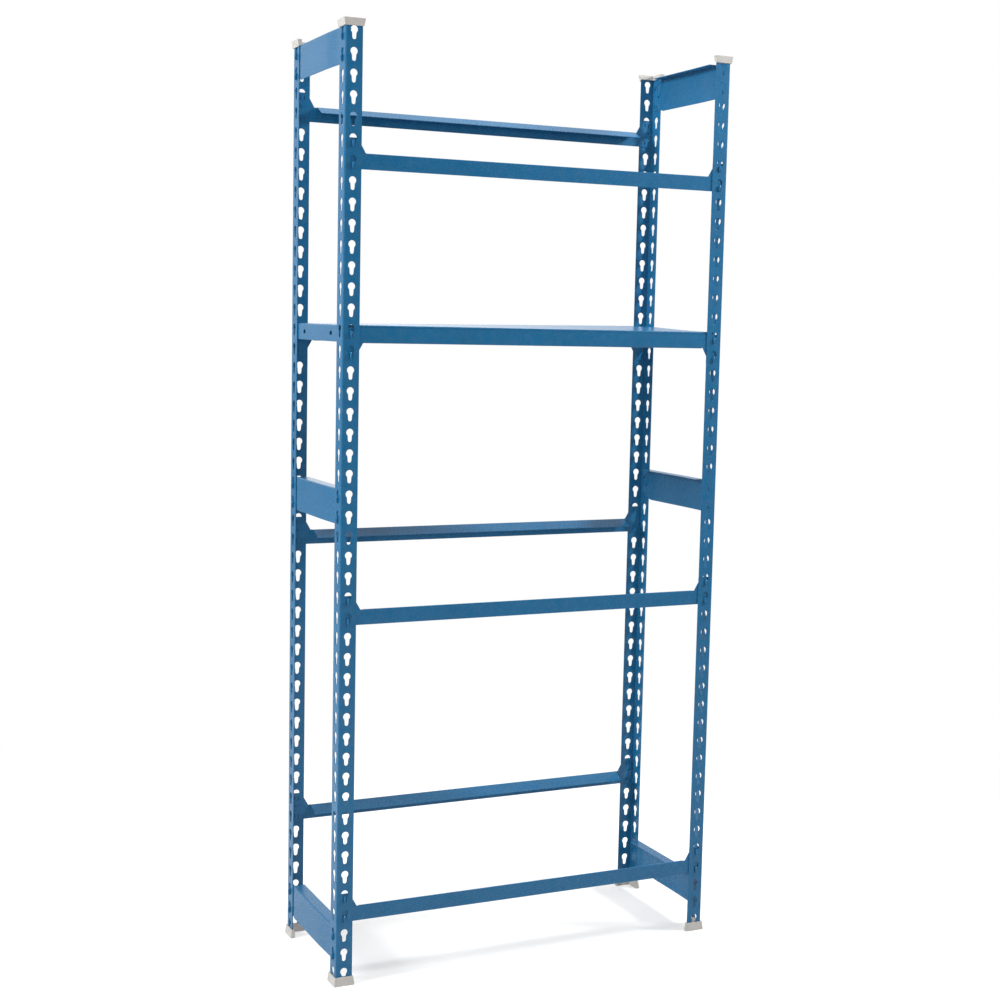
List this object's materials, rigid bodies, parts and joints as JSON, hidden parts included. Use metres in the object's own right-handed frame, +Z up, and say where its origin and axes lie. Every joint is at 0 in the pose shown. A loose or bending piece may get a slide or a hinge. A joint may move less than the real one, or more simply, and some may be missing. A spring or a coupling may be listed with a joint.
{
  "type": "storage bay",
  "caption": "Boltless steel storage bay of keyhole angle posts and clipped side ties, with paired sloped bars for round goods and a steel shelf.",
  "frame": {"origin": "on the floor, at the centre of the bay's plan", "axes": "+X along the bars, to the right of someone who faces the bay; +Y from front to back; +Z up"},
  "size_m": [0.9144, 0.3464, 2.008],
  "materials": {
    "post_paint": "blue powder coat, satin",
    "bar_paint": "blue powder coat, satin",
    "shelf_paint": "blue powder coat, satin",
    "shoe_plastic": "warm light grey moulded plastic"
  },
  "bodies": {
    "root": {"post_front_left": "post_paint", "post_front_right": "post_paint", "post_rear_left": "post_paint", "post_rear_right": "post_paint", "foot_front_left": "shoe_plastic", "foot_front_right": "shoe_plastic", "foot_rear_left": "shoe_plastic", "foot_rear_right": "shoe_plastic", "top_cap_front_left": "shoe_plastic", "top_cap_front_right": "shoe_plastic", "top_cap_rear_left": "shoe_plastic", "top_cap_rear_right": "shoe_plastic", "side_tie_left_top": "bar_paint", "side_tie_left_middle": "bar_paint", "side_tie_left_bottom": "bar_paint", "side_tie_right_top": "bar_paint", "side_tie_right_middle": "bar_paint", "side_tie_right_bottom": "bar_paint", "shelf_beam_front": "shelf_paint", "shelf_beam_rear": "shelf_paint"},
    "front_bar_top": {"front_bar_top": "bar_paint"},
    "front_bar_middle": {"front_bar_middle": "bar_paint"},
    "front_bar_bottom": {"front_bar_bottom": "bar_paint"},
    "rear_bar_top": {"rear_bar_top": "bar_paint"},
    "rear_bar_middle": {"rear_bar_middle": "bar_paint"},
    "rear_bar_bottom": {"rear_bar_bottom": "bar_paint"},
    "shelf_panel": {"shelf_panel": "shelf_paint"}
  },
  "joints": [
    {"name": "front_bar_top_lift", "type": "slide", "parent": "root", "child": "front_bar_top", "axis": [0, 0, 1], "range_m": [0, 0.0125]},
    {"name": "front_bar_middle_lift", "type": "slide", "parent": "root", "child": "front_bar_middle", "axis": [0, 0, 1], "range_m": [0, 0.0125]},
    {"name": "front_bar_bottom_lift", "type": "slide", "parent": "root", "child": "front_bar_bottom", "axis": [0, 0, 1], "range_m": [0, 0.0125]},
    {"name": "rear_bar_top_lift", "type": "slide", "parent": "root", "child": "rear_bar_top", "axis": [0, 0, 1], "range_m": [0, 0.0125]},
    {"name": "rear_bar_middle_lift", "type": "slide", "parent": "root", "child": "rear_bar_middle", "axis": [0, 0, 1], "range_m": [0, 0.0125]},
    {"name": "rear_bar_bottom_lift", "type": "slide", "parent": "root", "child": "rear_bar_bottom", "axis": [0, 0, 1], "range_m": [0, 0.0125]},
    {"name": "shelf_panel_lift", "type": "slide", "parent": "root", "child": "shelf_panel", "axis": [0, 0, 1], "range_m": [0, 0.12]}
  ]
}
